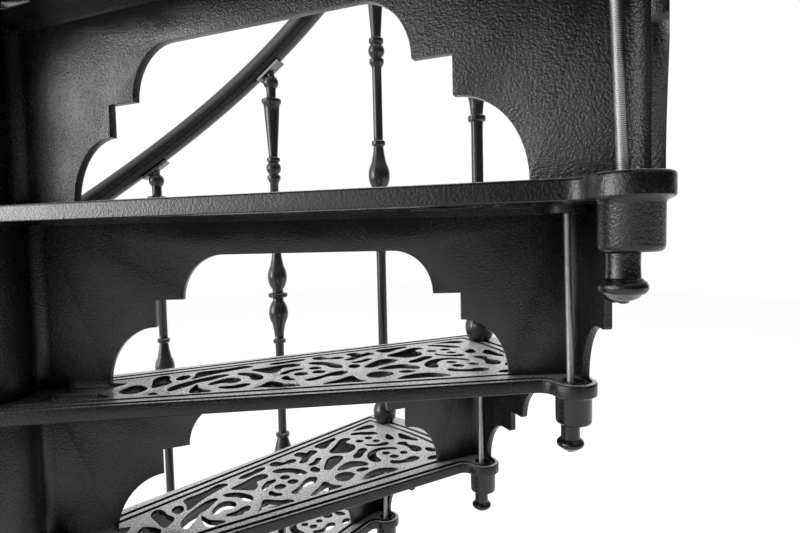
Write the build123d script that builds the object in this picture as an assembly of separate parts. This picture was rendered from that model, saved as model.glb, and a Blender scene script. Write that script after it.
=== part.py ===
"""Cast iron spiral staircase, one storey, climbing clockwise round a central newel.

Frame: millimetres, +Z up, the floor at Z = 0 and the newel's axis on Z.
Step i is described in its own frame, which is the world turned about Z so that
local +X runs through the tie rod eye of tread i. Climbing turns against local +Y.
"""
import os
from math import asin, atan2, cos, degrees, hypot, pi, radians, sin, sqrt, tan

from build123d import *

os.makedirs("parts", exist_ok=True)

# flight
steps = 12              # treads in the flight
rise = 200.0            # from tread top to tread top
step_angle = 24.0       # turn from tread to tread, fifteen to the full circle
start_angle = 132.0     # direction of the floor shoe's rod, before the first tread

# newel
newel_r = 54.0          # outside of the cast sleeves
core_r = 44.0           # steel tube through all the castings
core_wall = 6.0
core_clear = 0.5        # play between the tube and the bores
hub_r = 60.0            # round end of each tread under the sleeve
web_fillet = 12.0       # hollow between sleeve and riser plate
newel_above = 1000.0    # newel above the top tread
cap_r = 62.0            # moulded cap on the newel
cap_rim = 10.0          # height of the cap's rim
cap_cone_r = 44.0
cap_cone_z = 18.0
cap_neck_r = 20.0
cap_neck_z = 30.0
cap_ball_r = 34.0       # ball finial on the cap

# treads
tread_t = 15.0          # depth of the rim
plate_t = 8.0           # pierced plate inside the rim
rim_w = 16.0            # width of the rim seen from below
rod_r = 647.0           # tie rod's radius from the newel axis
edge_out = 30.0         # curved outer end of the tread beyond the rod circle
eye_r = 25.5            # round end of the lug
eye_a = 0.2             # lug ahead of the rod, degrees
back_slope = 6.3        # back edge against the step's axis, degrees
front_gap = 40.0        # front edge ahead of the next step's axis
corner_r = 18.0         # front outer corner
lug_fillet = 14.0       # hollow where the back edge meets the lug
boss_r = 19.7           # boss below the lug, centred on it
boss_round = 4.0        # rounding of the boss's lower edge
boss_drop = 48.0        # from the tread's top to the boss's end
lug_ring = 6.0          # solid metal kept round the lug below the plate
pad_r = 24.0            # solid pad under the baluster's foot, where the rod's head ends

# border mouldings and dish of the lug
groove_w = 3.2          # hollows between the three raised lines of the border
groove_d = 1.6
groove_1 = 9.0          # middle of the outer hollow, in from the edge
groove_2 = 20.0         # middle of the inner hollow
groove_end = 8.0        # the hollows stop this far from the hub
margin_w = 32.0         # plain margin outside the border at the outer end
dish_r = 12.0           # dish round the rod on top of the lug
dish_d = 3.0
plain_w = 30.0          # tread's edge to the field of the scrollwork
point_r = 2.6           # rounding in the corners of the pointed openings

# tie rods and the turned nuts under the lugs
rod_d = 8.0
nut_neck_r = 10.5
nut_waist_r = 11.7
nut_flange_r = 15.0
nut_drop = 32.0         # nut's length below the boss
top_stud = 24.0         # stud above the last lug

# risers
riser_face = 30.0       # near face ahead of the lower step's axis
riser_t = 8.0
skirt_inset = 6.0       # skirt inside the tread's outer edge
arch_mid = 357.0        # arch centre from the newel axis
arch_foot = 229.0       # half width on the tread
arch_low = 174.0        # half width between the two curves
arch_high = 142.0       # half width above the ledge
arch_flat = 96.0        # half width of the flat crown
heel_z = 2.0            # straight foot of the lower curve
low_z = 67.0            # top of the lower curve
ledge_z = 98.0          # the ledge
crown_z = 148.0         # the crown
skirt_foot = 32.0       # skirt's foot, measured round the skirt from the fold
skirt_low = 79.0        # skirt to the end of its lower curve
skirt_tooth = 101.0     # skirt to its lower tooth
skirt_ledge = 134.0     # skirt to the outer end of its ledge
skirt_end = 182.0       # skirt's full length
tooth_round = 4.0       # rounding of the teeth
fold_fillet = 14.0      # hollow between riser and skirt

# balusters: radii, and heights that are each measured from the level before
bal_in = 6.6            # baluster circle inside the rod circle
bal_lag = 1.0           # baluster behind the next tread's rod, degrees
shaft_r = 9.0
foot_seat_r = 15.0      # barrel foot where it sits on the tread
foot_r = 22.5
foot_up = 21.0          # tread to the widest part of the foot
foot_neck_up = 23.0     # to the neck above the foot
foot_neck_r = 12.5
bell_r = 22.5           # bell above the foot, a straight cone above its widest part
bell_up = 40.0          # to the widest part of the bell
bell_top_r = 11.5
ring_h = 8.0            # height of the plain rings
ring_a_r = 15.0
ring_a_up = 48.0
ring_b_r = 13.5
ring_b_up = 209.0
vase_r = 20.0           # double vase at the middle
vase_up = 70.0          # to the widest part of the lower vase
waist_r = 11.5
belt_r = 20.5
belt_up = 31.0          # to the belt between the vases
vase_top_up = 33.0      # to the widest part of the upper vase
ring_c_r = 13.0
ring_c_up = 68.0
ring_d_r = 14.0
ring_d_up = 153.5
bead_r = 15.5
bead_up = 20.0
ring_e_up = 18.2
cone_low_r = 9.5        # cone under the collar
cone_r = 17.0
collar_r = 20.5
collar_up = 123.8
neck_r = 10.0
swivel_up = 39.5        # to the centre of the swivel ball
swivel_r = 16.0
swivel_flat = 11.0      # half width of the flats under and on top of the ball
knuckle_r = 8.0

# handrail
rail_r = 22.0
rail_up = 54.0          # centre of the swivel ball to the tube's centre
rail_over = 9.0         # the tube runs past the end balusters, degrees
saddle_l = 62.0
saddle_t = 5.0
saddle_w = 26.0

# floor plates
base_r = 150.0
base_t = 16.0
base_bolt_circle = 115.0
base_bolts = 6
base_bolt_r = 7.0
shoe_r = 14.0
shoe_t = 12.0

seat_gap = 0.3          # between pieces whose seats are not flat
low_end = (Align.CENTER, Align.CENTER, Align.MIN)

# Scrollwork of a tread, as drawn in the tread's own frame on a plain tread of these
# sizes. on_field() stretches it to the tread's real sizes.
draw_hub, draw_rod, draw_plain = 60.0, 647.0, 30.0
draw_front, draw_back, draw_angle = 40.0, 6.3, 24.0

# round openings: x, y, width
dots = [(353, 95, 15), (360, 75, 16), (339, 67, 17), (527, 107, 14), (534, 88, 15), (555, 95, 14),
        (508, 179, 14), (528, 186, 14), (535, 166, 13), (201, 63, 19)]

# curling openings: x, y and width along the middle of each stroke
strokes = [
    # round the newel end
    [(162, 12, 28), (158, 26, 20)],
    [(175, 79, 17), (175, 60, 19), (182, 42, 21), (181, 24, 7)],
    [(206, 10, 12), (207, 27, 16), (225, 50, 18), (248, 69, 9)],
    [(243, 31, 9), (248, 43, 13), (262, 46, 24)],
    [(264, 77, 10), (283, 66, 13), (291, 48, 12)],
    [(258, 16, 8), (272, 16, 14), (283, 25, 12)],
    [(293, 124, 9), (312, 134, 11), (329, 144, 9)],
    # round the middle flower
    [(316, 68, 6), (322, 82, 9), (334, 92, 10)],
    [(323, 57, 6), (324, 48, 10), (332, 42, 9)],
    [(347, 123, 14), (368, 115, 15), (382, 97, 13)],
    [(353, 37, 11), (370, 53, 13), (387, 68, 19)],
    [(351, 151, 19), (366, 147, 9), (378, 151, 15)],
    [(391, 137, 9), (399, 150, 11), (406, 165, 14)],
    [(392, 173, 13), (406, 166, 14), (418, 172, 15)],
    [(400, 121, 9), (411, 126, 10), (418, 138, 9)],
    [(402, 95, 12), (402, 106, 12)],
    [(423, 98, 13), (434, 113, 20), (448, 127, 20)],
    [(432, 50, 24), (440, 57, 26)],
    [(463, 64, 11), (474, 65, 11)],
    [(438, 83, 8), (460, 91, 22), (481, 82, 9)],
    [(461, 34, 9), (489, 43, 21), (514, 42, 9)],
    [(440, 187, 20), (455, 200, 15), (470, 212, 6)],
    [(466, 153, 32), (478, 173, 32), (489, 197, 14)],
    [(477, 115, 13), (489, 128, 12), (500, 141, 12)],
    # round the two outer flowers
    [(502, 87, 17), (501, 104, 14), (510, 121, 12), (528, 128, 12), (548, 118, 10)],
    [(524, 67, 13), (544, 62, 13), (563, 67, 14)],
    [(567, 132, 14), (575, 117, 12), (581, 99, 20)],
    [(588, 172, 10), (591, 156, 20), (600, 138, 9)],
    [(561, 168, 15), (566, 182, 6)],
    [(514, 157, 9), (526, 147, 12), (545, 146, 13)],
    [(508, 216, 11), (527, 213, 12), (547, 204, 11)],
    [(599, 91, 11), (603, 79, 13)],
    [(581, 51, 9), (593, 55, 12)],
]

# pointed openings between the scrolls and the border: corners
spandrels = [
    [(78, -20), (78, 6), (126, 6), (150, -11)],
    [(84, 18), (129, 16), (143, 50), (120, 58), (84, 40)],
    [(188, 5), (199, -7), (184, -8)],
    [(210, 92), (276, 115), (272, 98), (214, 57)],
    [(226, 30), (252, -1), (232, -5), (224, 10)],
    [(272, 94), (318, 125), (332, 112), (312, 101), (302, 73)],
    [(299, 7), (309, 38), (348, 15), (320, 10)],
    [(369, 16), (402, 53), (411, 36), (423, 24), (400, 22)],
    [(514, 231), (553, 247), (561, 231)],
]


def turn(i):
    """Direction of the tie rod eye of step i, in degrees."""
    return start_angle - i * step_angle


def place(shape, i):
    """Move a shape from step i's frame to the world."""
    return Pos(0, 0, i * rise) * (Rot(0, 0, turn(i)) * shape)


def polar(r, a):
    return (r * cos(radians(a)), r * sin(radians(a)))


# plan of a tread, in its own frame
bal_r = rod_r - bal_in
bal_a = step_angle - bal_lag
bal_x, bal_y = polar(bal_r, bal_a)
edge_r = rod_r + edge_out
eye_c = polar(edge_r - eye_r, eye_a)
back_u, back_n = polar(1, back_slope), polar(1, back_slope + 90)
front_u, front_n = polar(1, step_angle), polar(1, step_angle + 90)


def at(u, n, along, across):
    """Point given along and across a straight side."""
    return (along * u[0] + across * n[0], along * u[1] + across * n[1])


# middle of the hollow that joins the back edge to the lug
eye_across = eye_c[0] * back_n[0] + eye_c[1] * back_n[1] + hub_r + lug_fillet
eye_along = eye_c[0] * back_u[0] + eye_c[1] * back_u[1]
hollow_along = eye_along - sqrt((eye_r + lug_fillet)**2 - eye_across**2)
hollow_c = at(back_u, back_n, hollow_along, -hub_r - lug_fillet)
hollow_a = degrees(atan2(eye_c[1] - hollow_c[1], eye_c[0] - hollow_c[0]))


def bearing(dist, r):
    """Angle above a line through the newel at which radius r is dist away from it."""
    return degrees(asin(dist / r))


def outline(inset=0.0, border=False):
    """Tread moved in from its edge: hub, straight sides, lug and curved outer end.
    As a border it leaves out the plain margin at the outer end."""
    d = inset
    low = at(back_u, back_n, hollow_along, d - hub_r)
    edges = [Line(at(back_u, back_n, 0, d - hub_r), low),
             CenterArc(hollow_c, lug_fillet + d, back_slope + 90, hollow_a - back_slope - 90),
             CenterArc(eye_c, eye_r - d, hollow_a + 180, 180 + eye_a - hollow_a)]
    if border:
        side_y = riser_face + riser_t / 2 + groove_1 - d     # the border's step lies under the riser
        inner_r = edge_r - margin_w - d
        a1, a2 = bearing(side_y, edge_r - d), bearing(side_y, inner_r)
        a3 = step_angle + bearing(front_gap - d, inner_r)
        edges += [CenterArc((0, 0), edge_r - d, eye_a, a1 - eye_a),
                  Line(polar(edge_r - d, a1), polar(inner_r, a2)),
                  CenterArc((0, 0), inner_r, a2, a3 - a2)]
        corner = polar(inner_r, a3)
    else:
        across = front_gap - corner_r
        corner_c = at(front_u, front_n, sqrt((edge_r - corner_r)**2 - across**2), across)
        a1 = degrees(atan2(corner_c[1], corner_c[0]))
        edges += [CenterArc((0, 0), edge_r - d, eye_a, a1 - eye_a),
                  CenterArc(corner_c, corner_r - d, a1, step_angle + 90 - a1)]
        corner = (corner_c[0] + (corner_r - d) * front_n[0], corner_c[1] + (corner_r - d) * front_n[1])
    a4 = step_angle + bearing(front_gap - d, hub_r - d)
    edges += [Line(corner, polar(hub_r - d, a4)),
              CenterArc((0, 0), hub_r - d, a4, back_slope + 270 - a4)]
    return make_face(Wire(edges))


def field(x, hub, front, back, angle, plain):
    """Lower and upper edge of a tread's field at x."""
    b, a = radians(back), radians(angle)
    return (plain - hub) / cos(b) + x * tan(b), (front - plain) / cos(a) + x * tan(a)


def on_field(x, y):
    """Point of the drawing, stretched to the tread's real sizes."""
    low, high = field(x, draw_hub, draw_front, draw_back, draw_angle, draw_plain)
    across = (y - low) / (high - low)
    x = hub_r + (x - draw_hub) * stretch
    low, high = field(x, hub_r, front_gap, back_slope, step_angle, plain_w)
    return Vector(x, low + across * (high - low))


stretch = (rod_r - hub_r) / (draw_rod - draw_hub)


def stroke_face(stroke):
    """Curling opening: a closed curve at half the stroke's width round its middle."""
    mid = [on_field(x, y) for x, y, w in stroke]
    half = [stretch * w / 2 for x, y, w in stroke]
    last = len(mid) - 1
    left, right = [], []
    for k, p in enumerate(mid):
        t = (mid[min(k + 1, last)] - mid[max(k - 1, 0)]).normalized()
        n = Vector(-t.Y, t.X)
        left.append(p + n * half[k])
        right.append(p - n * half[k])
        if k == 0:
            start = p - t * half[k]
        if k == last:
            end = p + t * half[k]
    return make_face(Spline(start, *left, end, *reversed(right), periodic=True))


def spandrel_face(corners):
    """Pointed opening: straight sides and rounded corners."""
    pts = [on_field(x, y) for x, y in corners]
    face = make_face(Polyline(*pts, pts[0]))
    return fillet(face.vertices(), point_r * stretch)


def scroll_cuts():
    """All the openings of a tread's scrollwork, as solids through it."""
    faces = [Pos(*on_field(x, y)) * Circle(stretch * w / 2) for x, y, w in dots]
    faces += [spandrel_face(corners) for corners in spandrels]
    faces += [stroke_face(stroke) for stroke in strokes]
    return [Pos(0, 0, -tread_t) * extrude(face, tread_t) for face in faces]


def border_hollow(middle):
    """Hollow along the border, its middle this far in from the edge."""
    ring = outline(middle - groove_w / 2, True) - outline(middle + groove_w / 2, True)
    return ring - Circle(hub_r + groove_end)


def make_tread():
    """Tread: rim, pierced plate, border mouldings, lug and boss."""
    body = Pos(0, 0, -tread_t) * extrude(outline(), tread_t)
    keep = Circle(hub_r) + Pos(*eye_c) * Circle(eye_r + lug_ring) + Pos(bal_x, bal_y) * Circle(pad_r)
    body -= Pos(0, 0, -tread_t) * extrude(outline(rim_w) - keep, tread_t - plate_t)
    boss = Pos(*eye_c, -boss_drop) * Cylinder(boss_r, boss_drop - plate_t, align=low_end)
    body += fillet(boss.edges().group_by(Axis.Z)[0], boss_round)
    body -= Pos(rod_r, 0, -boss_drop) * Cylinder(rod_d / 2 + seat_gap, boss_drop, align=low_end)
    body -= Pos(0, 0, -tread_t) * Cylinder(core_r + core_clear, tread_t, align=low_end)
    body -= Pos(0, 0, -groove_d) * extrude(border_hollow(groove_1), groove_d)
    inner_line = border_hollow(groove_2) - Pos(*eye_c) * Circle(eye_r + corner_r)
    body -= Pos(0, 0, -groove_d) * extrude(inner_line, groove_d)
    body -= Pos(*eye_c, -dish_d) * Cylinder(dish_r, dish_d, align=low_end)
    return body - scroll_cuts()


def arch_profile():
    """Opening under a riser, drawn across it: two quarter curves and a ledge each side."""
    def side(s):
        start = 0 if s > 0 else 90
        foot, low, high, flat = (arch_mid + s * half for half in (arch_foot, arch_low, arch_high, arch_flat))
        return [
            Line((foot, 0), (foot, heel_z)),
            EllipticalCenterArc((low, heel_z), arch_foot - arch_low, low_z - heel_z, start, arc_size=90),
            Line((low, low_z), (low, ledge_z)),
            Line((low, ledge_z), (high, ledge_z)),
            EllipticalCenterArc((flat, ledge_z), arch_high - arch_flat, crown_z - ledge_z, start,
                                arc_size=90),
        ]
    edges = side(1) + side(-1)
    edges.append(Line((arch_mid - arch_flat, crown_z), (arch_mid + arch_flat, crown_z)))
    edges.append(Line((arch_mid - arch_foot, 0), (arch_mid + arch_foot, 0)))
    return make_face(Wire(edges))


skirt_r = edge_r - skirt_inset                       # outer face of the skirt
fold_a = bearing(riser_face + riser_t, skirt_r)
skirt_mid = (skirt_foot + skirt_end) / 2


def round_skirt(s):
    """Place in the skirt's drawing of a point s round the skirt from the fold."""
    return skirt_r * sin((skirt_mid - s) / skirt_r)


def skirt_profile():
    """What is cut from the skirt: half of the arch again, with a lower tooth."""
    foot, low, tooth, ledge, end, far = (round_skirt(s) for s in (
        skirt_foot, skirt_low, skirt_tooth, skirt_ledge, skirt_end, skirt_end + skirt_mid))
    top = rise - tread_t + 1
    edges = [
        Line((foot, -1), (foot, heel_z)),
        EllipticalCenterArc((low, heel_z), foot - low, low_z - heel_z, 0, arc_size=90),
        Line((low, low_z), (tooth, low_z)),
        Line((tooth, low_z), (tooth, ledge_z)),
        Line((tooth, ledge_z), (ledge, ledge_z)),
        EllipticalCenterArc((end, ledge_z), ledge - end, crown_z - ledge_z, 0, arc_size=90),
        Line((end, crown_z), (end, top)),
        Line((end, top), (far, top)),
        Line((far, top), (far, -1)),
        Line((far, -1), (foot, -1)),
    ]
    face = make_face(Wire(edges))
    teeth = [v for v in face.vertices()
             if hypot(v.X - tooth, v.Y - low_z) < 1 or hypot(v.X - ledge, v.Y - ledge_z) < 1]
    return fillet(teeth, tooth_round)


def make_riser():
    """Riser, curved outer skirt and newel sleeve in one casting, in the lower step's frame."""
    height = rise - tread_t
    far_y = riser_face + riser_t
    reach = 2 * skirt_r
    end_a = fold_a - degrees(skirt_end / skirt_r)

    def strip(length):
        """Riser plate's plan from the newel axis outwards."""
        return make_face(Polyline((0, riser_face), (length, riser_face), (length, far_y), (0, far_y),
                                  (0, riser_face)))

    wedge = make_face(Polyline((0, 0), polar(reach, end_a), (reach, far_y), (0, far_y), (0, 0)))
    ring = Circle(skirt_r) - Circle(skirt_r - riser_t)
    plan = Sketch() + (strip(reach) & Circle(skirt_r)) + (ring & wedge)
    corner = (sqrt((skirt_r - riser_t)**2 - riser_face**2), riser_face, 0)
    plan = fillet(plan.vertices().sort_by_distance(corner)[0], fold_fillet)
    sleeve = Sketch() + strip(arch_mid) + Circle(newel_r)
    sleeve = fillet([v for v in sleeve.vertices() if hypot(v.X, v.Y) < newel_r + 1], web_fillet)
    plan += sleeve
    body = extrude(plan, height)
    body -= Cylinder(core_r + core_clear, height, align=low_end)
    arch = Pos(0, riser_face - 5, 0) * (Rot(90, 0, 0) * arch_profile())
    body -= extrude(arch, riser_t + 10, dir=(0, 1, 0))
    # the skirt's own profile, cut square to its middle
    mid_a = fold_a - degrees(skirt_mid / skirt_r)
    out = polar(1, mid_a)
    start = skirt_r - 4 * riser_t
    frame = Plane(origin=(start * out[0], start * out[1], 0), x_dir=(-out[1], out[0], 0), z_dir=(*out, 0))
    return body - extrude(frame * skirt_profile(), 6 * riser_t)


# heights on a baluster, above its tread
foot_h = foot_up + foot_neck_up
bell_z = foot_h + bell_up
ring_a_z = bell_z + ring_a_up
ring_b_z = ring_a_z + ring_b_up
vase_z = ring_b_z + vase_up
belt_z = vase_z + belt_up
vase_top_z = belt_z + vase_top_up
ring_c_z = vase_top_z + ring_c_up
ring_d_z = ring_c_z + ring_d_up
bead_z = ring_d_z + bead_up
ring_e_z = bead_z + ring_e_up
collar_z = ring_e_z + collar_up
swivel_z = collar_z + swivel_up
knuckle_z = swivel_z + sqrt(swivel_r**2 - swivel_flat**2)
rail_z = swivel_z + rail_up


def make_baluster():
    """Turned baluster from its barrel foot to the swivel ball, on the Z axis."""
    edges = []
    at = [(0, 0)]

    def to(r, z):
        edges.append(Line(at[-1], (r, z)))
        at.append((r, z))

    def swell(r, z, r_end, z_end):
        """Rounded swelling that passes (r, z) and ends at (r_end, z_end)."""
        edges.append(ThreePointArc(at[-1], (r, z), (r_end, z_end)))
        at.append((r_end, z_end))

    def ring(r, z, after):
        """Plain ring of radius r round the shaft, which goes on with radius after."""
        to(r, z - ring_h / 2)
        to(r, z + ring_h / 2)
        to(after, z + ring_h / 2 + (r - after) / 3)

    to(foot_seat_r, 0)
    swell(foot_r, foot_up, foot_neck_r, foot_h)
    to(foot_neck_r, foot_h + ring_h / 2)
    swell((foot_neck_r + 2 * bell_r) / 3, (foot_h + bell_z) / 2, bell_r, bell_z)
    to(bell_top_r, ring_a_z - ring_h / 2)
    ring(ring_a_r, ring_a_z, shaft_r)
    to(shaft_r, ring_b_z - ring_h / 2)
    ring(ring_b_r, ring_b_z, shaft_r)
    to((shaft_r + vase_r) / 2, (ring_b_z + vase_z) / 2)
    swell(vase_r, vase_z, waist_r, belt_z - 1.5 * ring_h)
    ring(belt_r, belt_z, waist_r)
    swell(vase_r, vase_top_z, (shaft_r + vase_r) / 2, (vase_top_z + ring_c_z) / 2)
    to(shaft_r, ring_c_z - ring_h / 2)
    ring(ring_c_r, ring_c_z, shaft_r)
    to(shaft_r, ring_d_z - ring_h / 2)
    ring(ring_d_r, ring_d_z, shaft_r + 1)
    swell(bead_r, bead_z, shaft_r + 1, ring_e_z - ring_h)
    ring(ring_d_r, ring_e_z, cone_low_r)
    to(cone_r, collar_z - ring_h)
    ring(collar_r, collar_z, neck_r)
    to(neck_r, 2 * swivel_z - knuckle_z - 2)
    to(swivel_flat, 2 * swivel_z - knuckle_z)
    swell(swivel_r, swivel_z, swivel_flat, knuckle_z)
    to(0, knuckle_z)
    to(0, 0)
    return revolve(Plane.XZ * make_face(Wire(edges)), Axis.Z)


def make_nut():
    """Turned nut below a lug, on the Z axis, its top face at Z = 0."""
    d = nut_drop
    low = -0.65 * d
    waist = (nut_waist_r, low + 0.1 * d)
    flange = (nut_flange_r, low - 0.05 * d)
    under = (nut_neck_r, low - 0.2 * d)
    prof = [Line((0, 0), (nut_neck_r, 0)),
            Line((nut_neck_r, 0), waist),
            ThreePointArc(waist, flange, under),
            Line(under, (rod_d / 2, -0.94 * d)),
            Line((rod_d / 2, -0.94 * d), (0, -d)),
            Line((0, -d), (0, 0))]
    return revolve(Plane.XZ * make_face(Wire(prof)), Axis.Z)


def oblique(r, a, b):
    """Bar with level ends from a to b."""
    d = Vector(*b) - Vector(*a)
    return extrude(Pos(*a) * Circle(r), d.length, dir=d.normalized())


tread = make_tread()
riser = make_riser()
baluster = make_baluster()
nut = make_nut()

# the lowest riser stands on the floor and, by the newel, on the base plate
first_riser = riser - Cylinder(base_r + seat_gap, base_t, align=low_end)

for i in range(1, steps + 1):
    export_step(place(tread, i), f"parts/tread_{i:02d}.step")
    export_step(place(first_riser if i == 1 else riser, i - 1), f"parts/riser_{i:02d}.step")
    export_step(place(Pos(bal_x, bal_y, 0) * baluster, i), f"parts/baluster_{i:02d}.step")

# tie rods: from each eye up to the front corner of the tread above
rod_head = polar(bal_r, bal_a - step_angle) + (rise - tread_t,)
rods = []
for i in range(0, steps):
    foot_z = shoe_t if i == 0 else 0
    bar = oblique(rod_d / 2, (rod_r, 0, foot_z), rod_head)
    if i:
        bar += Pos(rod_r, 0, seat_gap - boss_drop) * Cylinder(rod_d / 2, boss_drop - seat_gap, align=low_end)
    rods.append(place(bar, i))
stud = Pos(rod_r, 0, seat_gap - boss_drop) * Cylinder(rod_d / 2, boss_drop + top_stud, align=low_end)
rods.append(place(stud, steps))
export_step(Compound(children=rods), "parts/tie_rods.step")

nuts = [place(Pos(rod_r, 0, -boss_drop) * nut, i) for i in range(1, steps + 1)]
export_step(Compound(children=nuts), "parts/finial_nuts.step")

# handrail
pitch = rise * 360 / step_angle
a0 = turn(1) + bal_a + rail_over
span = (steps - 1) * step_angle + 2 * rail_over
z0 = rise + rail_z - pitch * rail_over / 360
helix = Helix(pitch=pitch, height=pitch * span / 360, radius=bal_r, lefthand=True)
path = Pos(0, 0, z0) * (Rot(0, 0, a0) * helix)
rail = sweep(Plane(origin=path @ 0, z_dir=path % 0) * Circle(rail_r), path=path, is_frenet=True)
export_step(rail, "parts/handrail.step")

# saddles between swivel balls and tube
lead = degrees(atan2(pitch, 2 * pi * bal_r))
saddles = []
under = rail_r + seat_gap + saddle_t / 2
plate = Rot(-lead, 0, 0) * (Pos(0, under * tan(radians(lead)), -under) * Box(saddle_w, saddle_l, saddle_t))
above = Rot(-lead, 0, 0) * (Pos(0, 0, -under) * Box(rod_r, rod_r, rod_r, align=low_end))
knuckle = Pos(0, 0, knuckle_z - rail_z) * Cylinder(knuckle_r, rail_z - knuckle_z, align=low_end) - above
for i in range(1, steps + 1):
    saddles.append(place(Rot(0, 0, bal_a) * (Pos(bal_r, 0, rail_z) * (plate + knuckle)), i))
export_step(Compound(children=saddles), "parts/saddles.step")

# newel: tie bar, upper sleeve, cap and base
top_z = steps * rise
core = Cylinder(core_r, top_z + newel_above - base_t, align=low_end)
core -= Cylinder(core_r - core_wall, top_z + newel_above - base_t, align=low_end)
export_step(Pos(0, 0, base_t) * core, "parts/newel_core.step")
upper = Cylinder(newel_r, newel_above, align=low_end)
upper -= Cylinder(core_r + core_clear, newel_above, align=low_end)
export_step(Pos(0, 0, top_z) * upper, "parts/newel_upper.step")
ball_z = cap_neck_z + sqrt(cap_ball_r**2 - cap_neck_r**2)
cap_pts = [(0, 0), (cap_r, 0), (cap_r, cap_rim), (cap_cone_r, cap_cone_z),
           (cap_neck_r, cap_neck_z - cap_rim / 2), (cap_neck_r, cap_neck_z)]
cap_prof = Wire([Line(a, b) for a, b in zip(cap_pts, cap_pts[1:])]
                + [ThreePointArc((cap_neck_r, cap_neck_z), (cap_ball_r, ball_z), (0, ball_z + cap_ball_r)),
                   Line((0, ball_z + cap_ball_r), (0, 0))])
cap = revolve(Plane.XZ * make_face(cap_prof), Axis.Z)
export_step(Pos(0, 0, top_z + newel_above) * cap, "parts/newel_cap.step")
base = Cylinder(base_r, base_t, align=low_end)
base -= PolarLocations(base_bolt_circle, base_bolts) * Cylinder(base_bolt_r, base_t, align=low_end)
export_step(base, "parts/base_plate.step")
shoe = Pos(*polar(rod_r, turn(0)), 0) * Cylinder(shoe_r, shoe_t, align=low_end)
export_step(shoe, "parts/floor_shoe.step")
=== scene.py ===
"""Looks of the cast iron spiral staircase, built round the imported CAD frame.

Metres, +Z up, newel on the Z axis. Step i is described in its own frame, turned about Z
so that local +X runs through the tie rod eye of tread i; climbing turns clockwise.
"""
import math

import bmesh
import bpy
import numpy as np
from mathutils import Matrix, Vector
from mathutils.geometry import delaunay_2d_cdt


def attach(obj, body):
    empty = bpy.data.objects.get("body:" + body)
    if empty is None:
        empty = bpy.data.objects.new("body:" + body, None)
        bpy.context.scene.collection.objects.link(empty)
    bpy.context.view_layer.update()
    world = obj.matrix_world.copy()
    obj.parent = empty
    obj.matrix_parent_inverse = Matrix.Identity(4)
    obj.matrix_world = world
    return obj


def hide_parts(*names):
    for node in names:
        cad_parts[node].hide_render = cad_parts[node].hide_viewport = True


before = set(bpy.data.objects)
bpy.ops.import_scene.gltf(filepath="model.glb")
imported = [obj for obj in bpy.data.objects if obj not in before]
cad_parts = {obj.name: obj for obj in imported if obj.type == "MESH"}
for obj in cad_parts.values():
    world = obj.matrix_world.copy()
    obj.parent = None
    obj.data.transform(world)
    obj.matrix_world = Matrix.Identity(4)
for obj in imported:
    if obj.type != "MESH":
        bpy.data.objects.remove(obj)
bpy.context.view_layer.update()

bl_info = {
    "name": "Cast iron spiral staircase",
    "version": (1, 0, 0),
    "blender": (4, 5, 0),
    "location": "3D View > Sidebar > Spiral stair",
    "description": "Pierced treads, arched risers, turned balusters and their finishes for the spiral staircase",
    "category": "Object",
}

MM = 0.001
LUG_SIDES = 32          # sides of lugs, bosses, dishes, nuts and rod holes
HUB_STEPS = 40          # steps round a tread's hub and its bore
END_STEPS = 44          # steps along a tread's outer end
THREAD_SIDES = 12       # sides of the threaded bars
TRACE = 3.2             # millimetres between points along the scrollwork's curves

# Sizes that a user would not change, metres.
ROD_HOLE = 0.0043       # radius of the hole round a tie rod
BORE_DROP = 0.0001      # bore's upper edge below the tread's top
LOWER_BREAK = 0.0007    # height of the broken lower edges
SCROLL_BREAK = 0.0006   # width of the broken lower edges of the scrollwork
HUB_RING = 0.002        # solid metal round the hub
BOSS_FLARE = 0.0025     # boss widens by this where it meets the tread
BOSS_EDGE = 0.004       # rounding of the boss's lower edge
HOLLOW_END = 0.005      # length over which a border hollow runs out
SWIVEL_FLAT = 0.011     # radius of the flat on top of a swivel ball
SHOE_TOP = 0.012        # height of the floor shoe's seat
STUD_TOP = 0.024        # height of the top stud above the last tread
STUB_SHORT = 0.0003     # a rod ends this much inside its boss
RIM_REACH = 0.0035      # the rim's inner line runs this far into the metal round the lug
ROUND_REACH = 0.003     # lines round hub, lug and pad run this far into the rim
LUG_REACH = 0.003       # the inner hollow's line stops this far within its clearance from the lug

# Sections in millimetres: distance in from the edge and height of the tread's rounded edge, and distance from
# the middle of a border hollow and share of its depth. The dish on a lug: shares of its radius and its depth.
EDGE_ROUND = [(0, -2.4), (0.3, -1.3), (1.1, -0.4), (2.4, 0)]
HOLLOW = [(-3.6, 0), (-3.2, -0.12), (-2.5, -0.75), (0, -1.0), (2.5, -0.75), (3.2, -0.12), (3.6, 0)]
DISH = [(1.06, 0.0), (1.0, -0.3), (0.94, -0.8), (0.86, -1.0)]
# How far the two hollows lean in from the edge's line, millimetres, at the four places that Plan.border names.
OUTER_LEAN, INNER_LEAN = (-2.6, 0, -1, 11), (-5, 7, -1.5, 11)


def length(name, value, text):
    """Property for a length in metres."""
    return bpy.props.FloatProperty(name=name, description=text, default=value, min=0.0, unit="LENGTH", precision=4)


def degrees(name, value, text):
    """Property for an angle, given in degrees and kept in radians."""
    return bpy.props.FloatProperty(name=name, description=text, default=math.radians(value), subtype="ANGLE")


def paint(name, value, text):
    """Property for a colour."""
    return bpy.props.FloatVectorProperty(name=name, description=text, default=value, size=3, min=0.0, max=1.0,
                                         subtype="COLOR")


class STAIR_PG_flight(bpy.types.PropertyGroup):
    steps: bpy.props.IntProperty(name="Steps", description="Treads in the flight", default=12, min=1)
    rise: length("Rise", 0.200, "Height from tread top to tread top")
    step_angle: degrees("Step angle", 24.0, "Turn from tread to tread")
    start_angle: degrees("Start angle", 132.0, "Direction of the lowest tie rod")


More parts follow.
